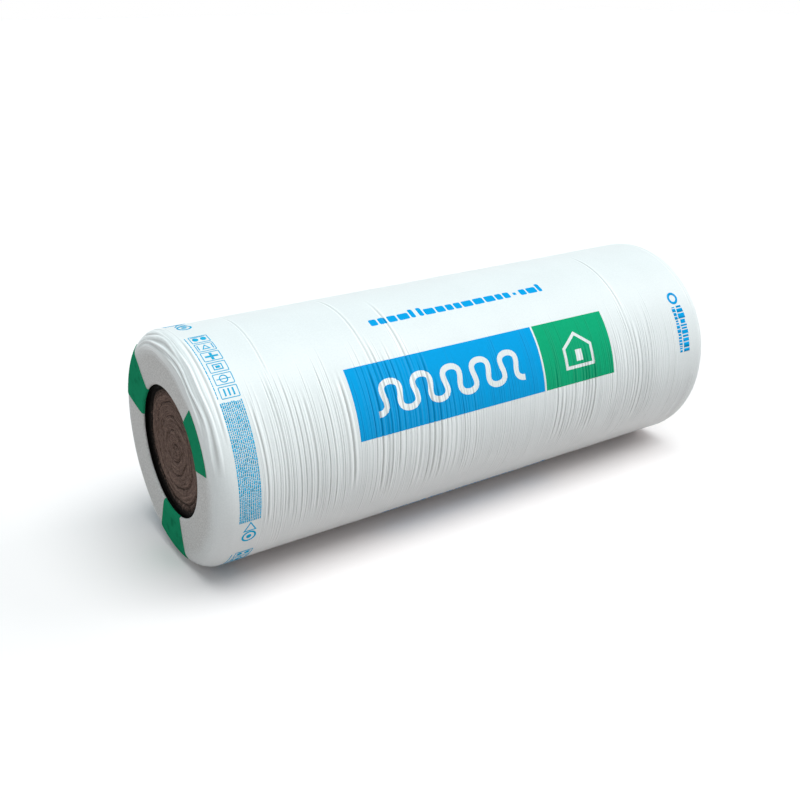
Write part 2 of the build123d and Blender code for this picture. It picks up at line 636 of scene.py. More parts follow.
WOOL_WANDER = [(6, 60), (1.5, 19)]  # how far the turns stray and over what length, in millimetres
WOOL_FLATNESS = 9  # the higher, the flatter a turn is between its creases
LAYER_HEIGHT = 1.4 * MM
LAYERS = [(1.0, 6, 14, 2.0), (0.6, 13, 22, 5.0)]  # share of it, number across a turn and along it, seed
SLIP_HEIGHT, SLIPS, SLIP_SEED = 1.2 * MM, 1.3, (5.0, 9.0)  # of whole turns that have slipped
TUFT, TUFT_HEIGHT = 3 * MM, 0.8 * MM
LUMP, LUMP_HEIGHT = 28 * MM, 1.2 * MM
RECESS_LEAN = 0.5 * MM  # the recess is this much narrower at its floor
CALM_EDGE = 8 * MM  # the wool lies flat this near to the recess wall
CREASE_PAINTED_LIGHT, CREASE_EDGE = 0.45, (0.02, 0.1)  # painted light in a crease, and where its painted shade ends, in shares of a turn
WALL_SHADE_START, WALL_SHADE_END = 12 * MM, 48 * MM  # the painted shade under the film, in from the recess wall


def winding(place):
    """Where a place on an end lies in the winding: its share across a turn, and the turns along it."""
    angle = math.atan2(place.z - AXIS_HEIGHT, place.y)
    wander = sum(size * MM * noise.noise(Vector(place) / (length * MM)) for size, length in WOOL_WANDER)
    phase = (axis_radius(place) + wander - WINDING_START) / TURN - angle / FULL_TURN
    turn = math.floor(phase)
    return phase - turn, turn + angle / FULL_TURN


def wool_height(place):
    """How far the wool of an end stands out of its plain flat face."""
    share, along = winding(place)
    crown = 1 - abs(2 * share - 1) ** WOOL_FLATNESS
    layers = 0.0
    for strength, across, patches, seed in LAYERS:
        layers += strength * noise.noise(Vector((across * share, patches * along, seed)))
    height = CREASE_DEPTH * (crown - 1) + LAYER_HEIGHT * layers
    height += SLIP_HEIGHT * noise.noise(Vector((SLIPS * along, *SLIP_SEED)))
    height += TUFT_HEIGHT * noise.noise(Vector(place) / TUFT)
    return height + LUMP_HEIGHT * noise.noise(Vector(place) / LUMP)


def wool_rim():
    """The wool's section from the straight side round the corner to the recess and in to the middle."""
    outer = ROLL_RADIUS - WOOL_GAP
    face = END - WOOL_GAP
    corner = SHOULDER - WOOL_GAP
    points = []
    for i in range(1, WOOL_CORNER_PARTS + 1):
        bend = math.pi / 2 * i / WOOL_CORNER_PARTS
        points.append((face - corner + corner * math.sin(bend), outer - corner + corner * math.cos(bend)))
    for in_share, out_share in ((0, 1), (0.3, 0.3), (1, 0)):  # the rounded edge of the recess
        points.append((face - in_share * RECESS_EDGE, RECESS_RADIUS + out_share * RECESS_EDGE))
    for i in range(WOOL_RINGS):
        points.append((END - RECESS_DEPTH, (RECESS_RADIUS - RECESS_LEAN) * (1 - i / WOOL_RINGS)))
    return points


def make_wool():
    outer = ROLL_RADIUS - WOOL_GAP
    wool = start_tube("wool_winding", WOOL_HOOP_PARTS, outer)
    edit(wool)
    draw_rims(wool, outer, wool_rim(), close=True)
    turn_faces_out()
    leave_edit()
    unwrap_wool(wool)
    roughen_wool(wool)
    bpy.ops.object.shade_smooth()
    return wool


def roughen_wool(wool):
    """Moves the two ends to the shape of the winding. For the finish, each point keeps its share across a
    turn, the turns along the blanket, and its painted light: painted shade in the creases and under the
    film's edge."""
    lay_and_painted_light = wool.data.attributes.new("lay_and_painted_light", "FLOAT_VECTOR", "POINT")
    for vert in wool.data.vertices:
        share, along = winding(vert.co)
        radius = axis_radius(vert.co)
        # painted light: shade painted into the colour in the creases and under the film's edge at the recess
        # wall
        light = 0.0
        if radius < RECESS_RADIUS:
            clear = smooth(*CREASE_EDGE, min(share, 1 - share))
            painted_wall_light = smooth(RECESS_RADIUS - WALL_SHADE_START, RECESS_RADIUS - WALL_SHADE_END, radius)
            light = (CREASE_PAINTED_LIGHT + (1 - CREASE_PAINTED_LIGHT) * clear) * painted_wall_light
        lay_and_painted_light.data[vert.index].vector = (share, along, light)
        if radius < RECESS_RADIUS - MM:
            calm = smooth(RECESS_RADIUS, RECESS_RADIUS - CALM_EDGE, radius)
            vert.co.x += math.copysign(calm, vert.co.x) * wool_height(vert.co)


WOOL_DISC, NEAR_WOOL, FAR_WOOL, WOOL_LEVEL = 0.48, 0.25, 0.75, 0.25  # the discs' width and middles
WOOL_SIDE_CORNER, WOOL_SIDE_SPAN = (0.1, 0.6), (0.8, 0.3)


def unwrap_wool(wool):
    """Lays the two ends out as discs and the hidden outside small beside them."""
    layer = wool.data.uv_layers.new(name="OFBake")
    reach = RECESS_RADIUS + RECESS_EDGE
    scale = WOOL_DISC / (2 * reach)
    for face, corner, place, angle in face_corners(wool):
        if axis_radius(face.center) < reach:
            u = (NEAR_WOOL if face.center.x < 0 else FAR_WOOL) + scale * place.y
            v = WOOL_LEVEL + scale * (place.z - AXIS_HEIGHT)
        else:
            u = WOOL_SIDE_CORNER[0] + WOOL_SIDE_SPAN[0] * (angle + math.pi) / FULL_TURN
            v = WOOL_SIDE_CORNER[1] + WOOL_SIDE_SPAN[1] * (place.x + END) / (2 * END)
        layer.data[corner].uv = (u, v)


# The prints, laid out flat with x along the roll and y round it, and then wrapped onto the film


def arc(degrees):
    """Length round the roll from the side towards the viewer."""
    return math.radians(degrees) * ROLL_RADIUS


def repeat_turns():
    """The number of each repeat of the print and its turn round the roll."""
    return [(i + 1, FULL_TURN * i / PRINT_REPEATS) for i in range(PRINT_REPEATS)]


def start_print():
    bpy.ops.object.select_all(action="DESELECT")
    bpy.ops.object.add(type="MESH")
    bpy.ops.object.mode_set(mode="EDIT")
    bpy.ops.mesh.select_mode(type="VERT")
    return bpy.context.object


def add_bar(x, y, width, height, corner=0.0):
    bpy.ops.mesh.primitive_plane_add(size=1, location=(x, y, 0))
    bpy.ops.transform.resize(value=(width, height, 1), center_override=(x, y, 0))
    if corner:
        bpy.ops.mesh.bevel(offset=corner, affect="VERTICES", segments=3)


DISC_SIDES, RING_SIDES = 20, 24


def add_disc(x, y, radius, sides=DISC_SIDES):
    bpy.ops.mesh.primitive_circle_add(vertices=sides, radius=radius, fill_type="NGON", location=(x, y, 0))


def hollow(stroke):
    """Leaves only an outline of the shape just added."""
    bpy.ops.mesh.inset(thickness=stroke)
    bpy.ops.mesh.delete(type="FACE")


DASH_LENGTHS, DASH_HEIGHTS = (0.35, 1.3), (0.75, 1.1)  # ranges, in shares of the sizes asked for
LEAST_ROOM = 0.4  # a row ends when there is less room than this share of a dash


def add_dashes(draw, x, low, high, height, length, gap):
    """A row of plain dashes of uneven size round the roll."""
    y = low
    while y < high - LEAST_ROOM * length:
        dash = min(length * draw.uniform(*DASH_LENGTHS), high - y)
        add_bar(x, y + dash / 2, height * draw.uniform(*DASH_HEIGHTS), dash)
        y += dash + gap


def divide_print(flat, pitch, axis):
    """Cuts a flat print into strips across an axis, so that it can follow the film."""
    places = [vert.co[axis] for vert in bmesh.from_edit_mesh(flat.data).verts]
    low, high = min(places), max(places)
    normal = Vector((1, 0, 0)) if axis == 0 else Vector((0, 1, 0))
    for i in range(1, math.ceil((high - low) / pitch)):
        bpy.ops.mesh.select_all(action="SELECT")
        bpy.ops.mesh.bisect(plane_co=normal * (low + i * pitch), plane_no=normal)


def finish_print(flat):
    """Turns every face of a flat print up and gives it a layout for its finish."""
    bpy.ops.mesh.select_mode(type="FACE")
    bpy.ops.mesh.select_all(action="DESELECT")
    mesh = bmesh.from_edit_mesh(flat.data)
    mesh.normal_update()
    for face in mesh.faces:
        face.select_set(face.normal.z < 0)
    bmesh.update_edit_mesh(flat.data)
    bpy.ops.mesh.flip_normals()
    leave_edit()
    places = [vert.co for vert in flat.data.vertices]
    low = Vector((min(p.x for p in places), min(p.y for p in places), 0))
    span = max(max(p.x for p in places) - low.x, max(p.y for p in places) - low.y)
    layer = flat.data.uv_layers.new(name="OFBake")
    for loop in flat.data.loops:
        place = (flat.data.vertices[loop.vertex_index].co - low) / span
        layer.data[loop.index].uv = [LAYOUT_EDGE + LAYOUT_SPAN * share for share in place.xy]


def wrap_print(flat, name, ink, to_film):
    """A copy of a flat print, carried onto the film by to_film(x, y) and sunk into it a little."""
    piece = copy_piece(flat, name)
    for vert in piece.data.vertices:
        vert.co = to_film(vert.co.x, vert.co.y)
    apply_modifier(
        piece,
        "SHRINKWRAP",
        target=film_piece,
        wrap_method="NEAREST_SURFACEPOINT",
        wrap_mode="ABOVE_SURFACE",
        offset=PRINT_LIFT,
    )
    thicken_print(piece, PRINT_LIFT)
    dress(piece, ink)


def thicken_print(piece, lift):
    """Sinks a print into the film below it. Its sides and back get a small corner of its layout."""
    top_faces = len(piece.data.polygons)
    apply_modifier(piece, "SOLIDIFY", thickness=PRINT_ROOT + lift, offset=-1)
    bpy.ops.object.shade_smooth()
    layer = piece.data.uv_layers["OFBake"]
    for face in piece.data.polygons[top_faces:]:
        face.use_smooth = False
        for corner in face.loop_indices:
            layer.data[corner].uv = BACK_CORNER + BACK_SPAN * Vector(layer.data[corner].uv)


def print_round(flat, name, ink):
    """Wraps a flat print three times round the roll and deletes the flat one."""
    for number, turn in repeat_turns():

        def to_film(x, y):
            angle = y / ROLL_RADIUS + turn
            return film_point(run_at(x, angle), angle)

        wrap_print(flat, f"{name}_{number}", ink, to_film)
    bpy.data.objects.remove(flat)


# Prints on the wrinkled side, cut from the film's own surface

PANEL_LOW, PANEL_HIGH = math.radians(8.7), math.radians(43.3)
PANEL_START, PANEL_END = -321 * MM, 309.5 * MM
PANEL_SPLIT = 119 * MM
PANEL_SPLIT_GAP = 4.5 * MM
PANEL_MIDDLE = (PANEL_LOW + PANEL_HIGH) / 2
PATCH_MARGIN, PATCH_MARGIN_ROUND = 20 * MM, math.radians(10)  # left on before a patch is cut to its edges
PATCH_INSIDE = ROLL_RADIUS - 0.9 * FILM_WALL  # what lies nearer to the axis is the film's inside
PATCH_MIDDLE = 0.3  # the height of a patch's middle line in its layout
FACING_OUT = 0.5  # how far a face has to point outwards to be shaded smooth
SIGN_DEPTH = 4 * MM  # how far a cutter for a sign reaches over and under the film


def cut_film(place, normal, keep_outer):
    """Cuts a copy of the film along a plane and keeps one side of it."""
    bpy.ops.mesh.select_all(action="SELECT")
    bpy.ops.mesh.bisect(plane_co=place, plane_no=normal, clear_inner=keep_outer, clear_outer=not keep_outer)


def copy_film(name, start, end, low, high):
    """A copy of the film's outside between two places along the roll and two angles, left in edit mode."""
    piece = copy_piece(film_piece, name)
    bpy.ops.object.select_all(action="DESELECT")
    edit(piece)
    middle, spread = (low + high) / 2, (high - low) / 2 + PATCH_MARGIN_ROUND
    select_verts(
        piece,
        lambda place: axis_radius(place) < PATCH_INSIDE
        or not start - PATCH_MARGIN < place.x < end + PATCH_MARGIN
        or math.cos(hoop_angle(place) - middle) < math.cos(spread),
    )
    bpy.ops.mesh.delete(type="VERT")
    axis = Vector((0, 0, AXIS_HEIGHT))
    cut_film((start, 0, 0), (1, 0, 0), True)
    cut_film((end, 0, 0), (1, 0, 0), False)
    cut_film(axis, round_way(low), True)
    cut_film(axis, round_way(high), False)
    return piece


def finish_patch(piece, start, end, middle):
    """Lays an open copy of the film out for its finish, lifts it off the film and sinks its back into it."""
    leave_edit()
    layer = piece.data.uv_layers["OFBake"]
    scale = LAYOUT_SPAN / (end - start)
    for loop in piece.data.loops:
        place = piece.data.vertices[loop.vertex_index].co
        off = (hoop_angle(place) - middle + math.pi) % FULL_TURN - math.pi
        u, v = LAYOUT_EDGE + scale * (place.x - start), PATCH_MIDDLE + scale * off * ROLL_RADIUS
        layer.data[loop.index].uv = (u, v)
    for vert in piece.data.vertices:
        vert.co += PANEL_LIFT * outward(vert.co)
    thicken_print(piece, PANEL_LIFT)
    verts = piece.data.vertices
    for front, back in zip(verts, verts[len(verts) // 2 :]):
        if axis_radius(front.co) < axis_radius(back.co):
            front, back = back, front
        back.co = front.co - (PRINT_ROOT + PANEL_LIFT) * outward(front.co)


def make_cutter(flat, turn):
    """A copy of a flat sign as a block that goes through the film, part of the way round the roll."""
    cutter = copy_piece(flat, "sign_cutter")
    radius = ROLL_RADIUS - SIGN_DEPTH
    for vert in cutter.data.vertices:
        angle = vert.co.y / ROLL_RADIUS + turn
        vert.co = (vert.co.x, -radius * math.cos(angle), AXIS_HEIGHT + radius * math.sin(angle))
    apply_modifier(cutter, "SOLIDIFY", thickness=2 * SIGN_DEPTH, offset=1)
    return cutter


def carve_patch(piece, cutter, operation, ink):
    """Cuts a sign out of a patch, or all but the sign, and shades the patch as the film below it."""
    apply_modifier(piece, "BOOLEAN", object=cutter, operation=operation, solver="EXACT")
    for face in piece.data.polygons:
        face.use_smooth = face.normal.dot(outward(face.center)) > FACING_OUT
    apply_modifier(
        piece,
        "DATA_TRANSFER",
        object=film_piece,
        use_loop_data=True,
        data_types_loops={"CUSTOM_NORMAL"},
        loop_mapping="POLYINTERP_NEAREST",
    )
    bpy.data.objects.remove(cutter)
    dress(piece, ink)


def add_loops(flat):
    """A row of loops, as drawn for soft insulation."""
    y = PANEL_MIDDLE * ROLL_RADIUS
    start, length, height, stroke = -275 * MM, 345 * MM, 28 * MM, 12 * MM
    loops, loop_parts, bulge, tiny = 5, 36, 9 * MM, 0.0005
    bpy.ops.mesh.primitive_grid_add(
        x_subdivisions=loops * loop_parts, y_subdivisions=1, size=1, location=(0, 0, 0)
    )
    mesh = bmesh.from_edit_mesh(flat.data)

    def loop_line(share):
        turn = FULL_TURN * loops * share
        return Vector((start + length * share + bulge * math.sin(2 * turn), y - height * math.cos(turn), 0))

    for vert in [v for v in mesh.verts if v.select]:
        share, across = vert.co.x + 0.5, vert.co.y
        ahead = (loop_line(share + tiny) - loop_line(share - tiny)).normalized()
        vert.co = loop_line(share) + across * stroke * Vector((-ahead.y, ahead.x, 0))
    bmesh.update_edit_mesh(flat.data)


def add_house(flat):
    """A plain house: its outline and a door."""
    x, y, half_width, half_height = 218 * MM, PANEL_MIDDLE * ROLL_RADIUS, 40 * MM, 38 * MM
    outline = [(-1, -1), (1, -1), (1, 0.2), (0, 1), (-1, 0.2)]
    add_disc(x, y, half_width, len(outline))
    mesh = bmesh.from_edit_mesh(flat.data)
    corners = [v for v in mesh.verts if v.select]
    corners.sort(key=lambda v: math.atan2(v.co.y - y, v.co.x - x))
    for vert, (right, up) in zip(corners, outline):
        vert.co = (x + right * half_width, y + up * half_height, 0)
    bmesh.update_edit_mesh(flat.data)
    hollow(stroke=7 * MM)
    door_drop, door_width, door_height = 12 * MM, 17 * MM, 24 * MM
    add_bar(x, y - door_drop, door_width, door_height)


def make_panels():
    """The large print, three times round the roll: a blue and a green field with a gap between, each with a
    sign left open in it."""
    for name, ink, side, add_sign in (("blue", blue_ink, -1, add_loops), ("green", green_ink, 1, add_house)):
        flat = start_print()
        add_sign(flat)
        divide_print(flat, pitch=9 * MM, axis=1)
        finish_print(flat)
        for number, turn in repeat_turns():
            cutter = make_cutter(flat, turn)
            low, high = PANEL_LOW + turn, PANEL_HIGH + turn
            piece = copy_film(f"panel_{name}_{number}", PANEL_START, PANEL_END, low, high)
            cut_film((PANEL_SPLIT + side * PANEL_SPLIT_GAP / 2, 0, 0), (1, 0, 0), side > 0)
            finish_patch(piece, PANEL_START, PANEL_END, PANEL_MIDDLE + turn)
            carve_patch(piece, cutter, "DIFFERENCE", ink)
        bpy.data.objects.remove(flat)


def make_block_row():
    """A row of rounded blocks above the large print, in groups. Narrow ones stand taller, and one that is
    alone in its group is small."""
    draw = random.Random(3)
    flat = start_print()
    low, high, y = -220 * MM, 205 * MM, arc(65.2)
    gap, group_gap, height, extra_height, corner = 3.6 * MM, 9 * MM, 17 * MM, 7 * MM, 3.5 * MM
    widths, lone_width, narrow, lone_size = (0.5, 0.8, 1.0, 1.2), 0.4, 0.6, 0.45
    groups = [5, 10, 1, 3]
    shares = [[lone_width] if n == 1 else [draw.choice(widths) for _ in range(n)] for n in groups]
    gaps = gap * sum(count - 1 for count in groups) + group_gap * (len(groups) - 1)
    scale = (high - low - gaps) / sum(sum(group) for group in shares)
    x = low
    for group in shares:
        size = lone_size if len(group) == 1 else 1.0
        for share in group:
            width = scale * share
            tall = extra_height if share < narrow and len(group) > 1 else 0.0
            add_bar(x + width / 2, y + tall / 2, width, (height + tall) * size, corner * size)
            x += width + gap
        x += group_gap - gap
    divide_print(flat, pitch=9 * MM, axis=1)
    finish_print(flat)
    reach = 20 * MM / ROLL_RADIUS
    for number, turn in repeat_turns():
        middle = y / ROLL_RADIUS + turn
        piece = copy_film(f"block_row_{number}", low - MM, high + MM, middle - reach, middle + reach)
        finish_patch(piece, low, high, middle)
        carve_patch(piece, make_cutter(flat, turn), "INTERSECT", blue_ink)
    bpy.data.objects.remove(flat)


# Small prints beside the ends

# Plain signs for the boxes in the strip, in millimetres from the middle of a box. A shape is a bar by its
# place, width and height, a disc or triangle by its place and radius, or an outline, which hollows the last
# shape, by its stroke.
BOX_SIGNS = [
    [("bar", -8, 0, 3, 14), ("bar", 0, 0, 3, 14), ("bar", 8, 0, 3, 14)],
    [("disc", 0, 0, 8), ("outline", 2), ("bar", 0, 0, 26, 1.6)],
    [("bar", 0, 0, 18, 13), ("outline", 2), ("bar", 0, 0, 8, 5)],
    [("bar", 0, 0, 24, 4), ("bar", 0, -5.5, 5, 6), ("bar", 0, 5.5, 5, 6)],
    [("triangle", 0, -1.5, 9), ("outline", 2), ("bar", -13, 0, 2, 13), ("bar", 13, 0, 2, 13)],
    [("disc", -7.5, 0, 5.5), ("disc", 7.5, 0, 5.5), ("bar", 0, 8, 26, 1.6)],
]


def add_box_sign(shapes, x, y):
    for kind, *sizes in shapes:
        sizes = [size * MM for size in sizes]
        if kind == "outline":
            hollow(*sizes)
        elif kind == "bar":
            add_bar(x + sizes[0], y + sizes[1], *sizes[2:])
        else:
            add_disc(x + sizes[0], y + sizes[1], sizes[2], 3 if kind == "triangle" else DISC_SIDES)


def make_near_marks():
    """The strip beside the near end: boxes with plain signs, rows of dashes, a triangle and a ring."""
    draw = random.Random(7)
    flat = start_print()
    x = -540.5 * MM
    box_low, box_pitch = arc(42), arc(40) / len(BOX_SIGNS)
    for i, shapes in enumerate(BOX_SIGNS):
        y = box_low + (i + 0.5) * box_pitch
        add_bar(x, y, width=35 * MM, height=23 * MM, corner=2 * MM)
        hollow(stroke=1.5 * MM)
        add_box_sign(shapes, x, y)
    add_dashes(draw, x=-564.5 * MM, low=arc(43), high=arc(81), height=2 * MM, length=8 * MM, gap=1.4 * MM)
    rows, first_row, row_pitch = 12, -563.4, 3.5
    for i in range(rows):
        row = (first_row + row_pitch * i) * MM
        add_dashes(draw, row, low=arc(-15.5), high=arc(41), height=2.4 * MM, length=6 * MM, gap=1.0 * MM)
    low_x, triangle_y, ring_y = x - 2 * MM, arc(-19.7), arc(-25.4)
    add_disc(low_x, triangle_y, radius=15 * MM, sides=3)
    hollow(stroke=2.2 * MM)
    add_disc(low_x, ring_y, radius=14 * MM, sides=RING_SIDES)
    hollow(stroke=3.6 * MM)
    add_disc(low_x, ring_y, radius=5 * MM)
    divide_print(flat, pitch=3.5 * MM, axis=0)
    divide_print(flat, pitch=7 * MM, axis=1)
    finish_print(flat)
    print_round(flat, "near_marks", fine_ink)


def make_far_marks():
    """The marks beside the far end: a ring and two rows of dashes round the roll."""
    draw = random.Random(11)
    flat = start_print()
    add_disc(x=528 * MM, y=arc(40.8), radius=14.5 * MM, sides=RING_SIDES)
    hollow(stroke=6 * MM)
    low, high = arc(9.4), arc(36.2)
    for x, height, length, gap in ((535.5, 19, 9, 2.4), (518, 10, 6, 2)):
        add_dashes(draw, x * MM, low, high, height * MM, length * MM, gap * MM)
    divide_print(flat, pitch=3.5 * MM, axis=0)
    divide_print(flat, pitch=8 * MM, axis=1)
    finish_print(flat)
    print_round(flat, "far_marks", blue_ink)


# First and last degree, outer radius in millimetres
END_PATCHES = [(7, 46, 177), (131, 165, 219), (-112, -79, 211)]


def make_end_patches(end, side_name):
    """The green fields on an end, from the opening outwards."""
    for i, (first, last, radius) in enumerate(END_PATCHES):
        outer = run_at_radius(radius * MM)
        flat = start_print()
        bpy.ops.mesh.primitive_grid_add(x_subdivisions=40, y_subdivisions=24, size=1, location=(0.5, 0.5, 0))
        finish_print(flat)

        def to_film(across, round_share):
            angle = math.radians(first + (last - first) * (round_share if end < 0 else 1 - round_share))
            return film_point(end * (LIP_END + (outer - LIP_END) * (1 - across)), angle)

        wrap_print(flat, f"end_patch_{side_name}_{i + 1}", end_ink, to_film)
        bpy.data.objects.remove(flat)


# Materials

RIDGE_PITCH, RIDGE_LENGTH = 2.6 * MM, 70 * MM  # the fine ridges of tight film, along the roll and round it


def add_node(tree, kind, inputs, out=0, **settings):
    """Adds a node with its settings and returns one of its outputs. An input is a value, a hex colour, or an
    output to link to it. A Mix has its factor in 0 and its colours in 6 and 7, or its values in 2 and 3. A
    Map Range goes from 1 and 2 to 3 and 4."""
    node = tree.nodes.new("ShaderNode" + kind)
    for name, value in settings.items():
        setattr(node, name, value)
    for socket, value in inputs.items():
        if isinstance(value, bpy.types.NodeSocket):
            tree.links.new(value, node.inputs[socket])
        else:
            node.inputs[socket].default_value = linear(value) if isinstance(value, str) else value
    return node.outputs[out] if node.outputs else None


def start_material(name):
    material = bpy.data.materials.new(name)
    material.use_nodes = True
    material.node_tree.nodes.clear()
    return material, material.node_tree


def roll_place(tree):
    """The place on a piece, from the middle of the roll."""
    place = add_node(tree, "TexCoord", {}, "Object")
    return add_node(tree, "VectorMath", {0: place, 1: (0, 0, AXIS_HEIGHT)}, operation="SUBTRACT")


def fine_ridges(tree, place):
    """The fine ridges round the roll, in the film and in the ink on it."""
    scale = (1 / RIDGE_PITCH, 1 / RIDGE_LENGTH, 1 / RIDGE_LENGTH)
    stretched = add_node(tree, "VectorMath", {0: place, 1: scale}, operation="MULTIPLY")
    return add_node(tree, "TexNoise", {"Vector": stretched, "Scale": 1.0, "Detail": 2.0})


def paint_light_in_folds(tree, colour, *painted_tones):
    """Paints shade into the valleys of the folds and a highlight onto their ridges. A painted tone is the
    height of a fold, in millimetres, at which it is strongest, how strong it is there, and its colour."""
    fold = add_node(tree, "Attribute", {}, "Fac", attribute_name="fold")
    for height, strength, painted_tone in painted_tones:
        share = add_node(tree, "MapRange", {0: fold, 1: 0.0, 2: height, 3: 0.0, 4: strength})
        colour = add_node(tree, "Mix", {0: share, 6: colour, 7: painted_tone}, 2, data_type="RGBA")
    return colour


# Blown polyethylene film, printed and wound on under tension: white with a cool cast, a soft gloss, and fine
# ridges round the roll that break the gloss up. Inside the hem only the inner layer shows, duller and grey.
# Painted shade darkens the valleys of its folds, and a painted highlight lightens their ridges.
def make_film_finish():
    material, tree = start_material("polyethylene_film_blown")
    place = roll_place(tree)
    ridges = fine_ridges(tree, place)
    grain = add_node(tree, "TexNoise", {"Vector": place, "Scale": 1 / (3 * MM), "Detail": 3.0})
    speckle = add_node(tree, "MapRange", {0: grain, 1: 0.3, 2: 0.7})
    cloud = add_node(tree, "TexNoise", {"Vector": place, "Scale": 1 / (90 * MM), "Detail": 2.0})
    end_ring = add_node(tree, "Attribute", {}, "Fac", attribute_name="end_ring")
    clean = add_node(tree, "Mix", {0: cloud, 6: "#E2E4E4", 7: "#EAECEC"}, 2, data_type="RGBA")
    mottle = add_node(tree, "Mix", {0: speckle, 6: "#F9F9F9", 7: "#FFFFFF"}, 2, data_type="RGBA")
    white = add_node(tree, "Mix", {0: 1.0, 6: clean, 7: mottle}, 2, data_type="RGBA", blend_type="MULTIPLY")
    grey = add_node(tree, "Mix", {0: speckle, 6: "#B9B6B4", 7: "#DCDAD8"}, 2, data_type="RGBA")
    # painted shade in the fold valleys and a painted highlight on their ridges
    side_white_with_fold_light = paint_light_in_folds(tree, white, (-1.0, 0.5, "#7C7876"), (0.7, 0.9, "#FCFDFD"))
    colour = add_node(tree, "Mix", {0: end_ring, 6: side_white_with_fold_light, 7: grey}, 2, data_type="RGBA")
    side_rough = add_node(tree, "MapRange", {0: ridges, 3: 0.34, 4: 0.46})
    rough = add_node(tree, "Mix", {0: end_ring, 2: side_rough, 3: 0.62})
    crinkle = add_node(tree, "Math", {0: grain, 1: 0.22, 2: ridges}, operation="MULTIPLY_ADD")
    relief = add_node(tree, "Mix", {0: end_ring, 2: crinkle, 3: grain})
    bump = add_node(tree, "Bump", {"Strength": 0.45, "Distance": 0.4 * MM, "Height": relief})
    surface = {"Base Color": colour, "Roughness": rough, "Normal": bump}
    shader = add_node(tree, "BsdfPrincipled", surface | {"IOR": 1.5, "Specular IOR Level": 0.35})
    add_node(tree, "OutputMaterial", {"Surface": shader})
    return material


# Flexographic ink on the film: a thin colour that is a little uneven from the roller, with the film's fine
# ridges. Where it lies under a second layer of film, wool dust between them shows as soft smudges. Painted
# shade darkens it in the fold valleys, and a faint painted highlight lightens their ridges.
def make_ink(name, dark, light, smudge=None):
    material, tree = start_material(name)
    place = roll_place(tree)
    ridges = fine_ridges(tree, place)
    mottle = add_node(tree, "TexNoise", {"Vector": place, "Scale": 1 / (5 * MM), "Detail": 3.0})
    even = add_node(tree, "Mix", {0: mottle, 6: dark, 7: light}, 2, data_type="RGBA")
    if smudge:
        dust = add_node(tree, "TexNoise", {"Vector": place, "Scale": 1 / (22 * MM), "Detail": 4.0})
        dusty = add_node(tree, "MapRange", {0: dust, 1: 0.55, 2: 0.75, 3: 0.0, 4: 0.6})
        even = add_node(tree, "Mix", {0: dusty, 6: even, 7: smudge}, 2, data_type="RGBA")
    # painted shade in the fold valleys and a faint painted highlight on their ridges
    colour = paint_light_in_folds(tree, even, (-0.9, 0.42, "#05202B"), (0.8, 0.03, "#D5F0FA"))
    rough = add_node(tree, "MapRange", {0: ridges, 3: 0.36, 4: 0.48})
    bump = add_node(tree, "Bump", {"Strength": 0.45, "Distance": 0.4 * MM, "Height": ridges})
    surface = {"Base Color": colour, "Roughness": rough, "Normal": bump}
    shader = add_node(tree, "BsdfPrincipled", surface | {"IOR": 1.5, "Specular IOR Level": 0.0})
    add_node(tree, "OutputMaterial", {"Surface": shader})
    return material


SHORT_STREAKS, LONG_STREAKS = (18, 40, 0), (11, 7, 0)  # how many lie across the 27 mm of a turn and along it


